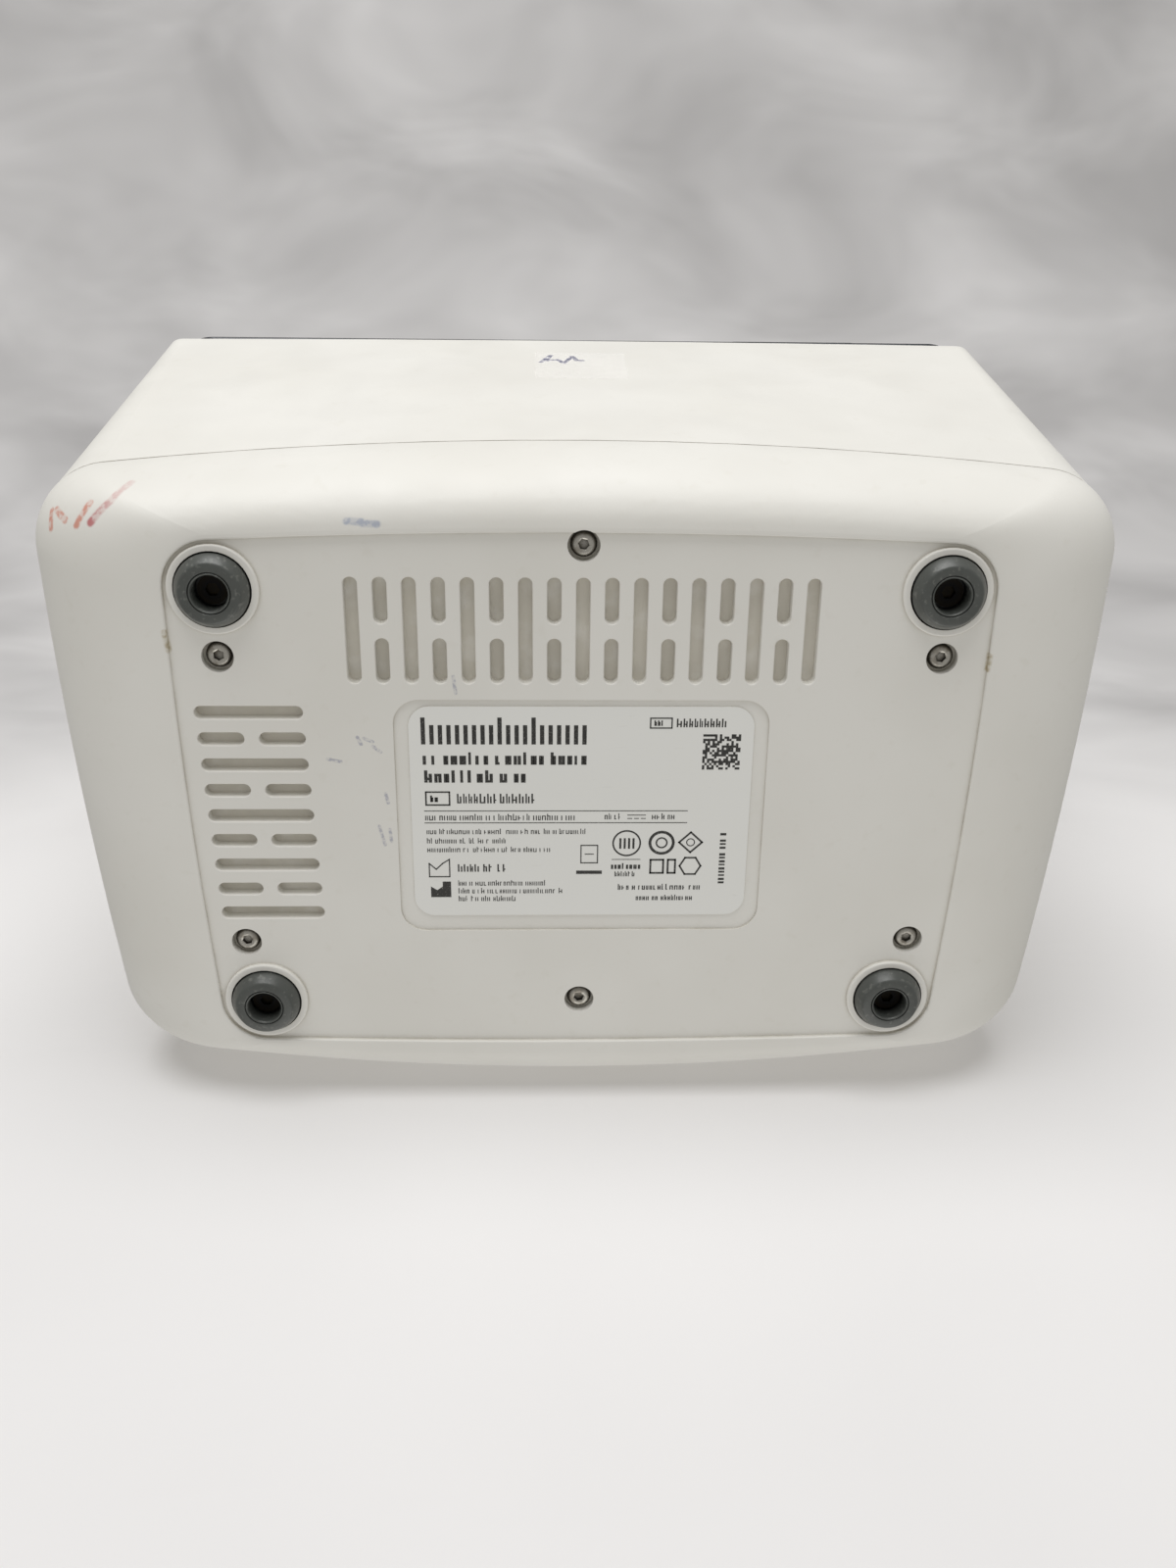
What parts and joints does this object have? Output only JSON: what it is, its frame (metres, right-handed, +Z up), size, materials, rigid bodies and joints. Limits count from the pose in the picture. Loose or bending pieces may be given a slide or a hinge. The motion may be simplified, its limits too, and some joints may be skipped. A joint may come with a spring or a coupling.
{
  "type": "automated cell counter",
  "caption": "Bench-top automated cell counter: tapered white housing on a rounded base with rubber feet, leaning touch screen, slide port and a focusing inverted microscope inside.",
  "frame": {"origin": "on the table, under the middle of the bounding box, at the level of the feet's treads", "axes": "+Z up from the feet to the top; the screen and slide port face -Y, the power socket is on the +Y side; +X is to the right seen from the front"},
  "size_m": [0.2288, 0.1586, 0.229],
  "materials": {
    "warm_white_plastic": "fine-textured warm white moulding",
    "dark_gloss_plastic": "glossy near-black navy moulding",
    "cover_glass": "black printed cover glass",
    "display": "display panel in a metal tray",
    "zinc_sheet": "zinc-plated pressed sheet",
    "cast_aluminium": "bead-blasted casting",
    "black_anodised": "black anodised",
    "bright_steel": "ground steel",
    "steel_screw": "plain stainless screws",
    "brass_nut": "machined brass",
    "grey_rubber": "grey moulded rubber",
    "label_film": "printed white film",
    "tape_film": "white tape",
    "pale_baffle": "pale sheet",
    "circuit_board": "green solder mask",
    "black_plastic": "black moulding",
    "optic_glass": "coated lens glass",
    "orange_film": "flexible cable film",
    "red_wire": "insulated wire"
  },
  "bodies": {
    "base": {"bottom_casing": "warm_white_plastic", "main_housing": "warm_white_plastic", "front_bezel": "dark_gloss_plastic", "touch_panel": "cover_glass", "lcd_module": "display", "screen_bracket": "zinc_sheet", "screen_screws": "steel_screw", "rating_label": "label_film", "tape_sticker": "tape_film", "foot_screws": "steel_screw", "base_screws": "steel_screw", "front_vent_baffle": "pale_baffle", "side_vent_baffle": "pale_baffle", "slide_port_insert": "black_plastic", "slide_guide": "black_anodised", "guide_cover": "black_anodised", "push_latch": "black_plastic", "optics_frame": "cast_aluminium", "column_screws": "steel_screw", "focus_rods": "bright_steel", "focus_motor": "zinc_sheet", "screw_bearing": "brass_nut", "focus_spring": "bright_steel", "led_board": "circuit_board", "condenser_holder": "black_anodised", "condenser_lens": "optic_glass", "camera_board": "circuit_board", "camera_sensor": "black_plastic", "camera_tube": "black_anodised", "chassis_plate": "zinc_sheet", "chassis_posts": "brass_nut", "main_board": "circuit_board", "board_parts": "black_plastic", "heat_sink": "black_anodised", "board_spacers": "brass_nut", "board_screws": "steel_screw", "speaker": "black_plastic", "front_usb_port": "bright_steel", "rear_port_plate": "warm_white_plastic", "plate_screws": "steel_screw", "dc_inlet": "black_plastic", "switch_housing": "black_plastic", "display_cable": "orange_film", "camera_cable": "orange_film", "power_leads": "red_wire", "foot_front_left": "grey_rubber", "foot_front_right": "grey_rubber", "foot_rear_left": "grey_rubber", "foot_rear_right": "grey_rubber"},
    "rocker": {"power_rocker": "black_plastic"},
    "slide_tray": {"slide_carriage": "bright_steel", "slide_stop": "bright_steel"},
    "lens_stage": {"lens_carriage": "black_anodised", "focus_nut": "brass_nut", "objective_barrel": "black_anodised", "objective_lenses": "optic_glass"},
    "drive_screw": {"focus_screw": "bright_steel"}
  },
  "joints": [
    {"name": "power_switch", "type": "hinge", "parent": "base", "child": "rocker", "pos_m": [0.063, 0.071, 0.048], "axis": [1, 0, 0], "range_deg": [-16, 0]},
    {"name": "slide_push", "type": "slide", "parent": "base", "child": "slide_tray", "axis": [0, 1, 0], "range_m": [0, 0.004], "stiffness_N_per_m": 80, "springref_m": -0.004},
    {"name": "focus_travel", "type": "slide", "parent": "base", "child": "lens_stage", "axis": [0, 0, 1], "range_m": [0, 0.006], "deforming": ["focus_spring"]},
    {"name": "focus_turn", "type": "hinge", "parent": "base", "child": "drive_screw", "pos_m": [0.06, -0.01, 0.06], "axis": [0, 0, 1], "range_deg": [-1081, 0]}
  ],
  "couplings": [
    {"joint": "focus_turn", "follows": "focus_travel", "rad_per_m": -3141.6}
  ]
}
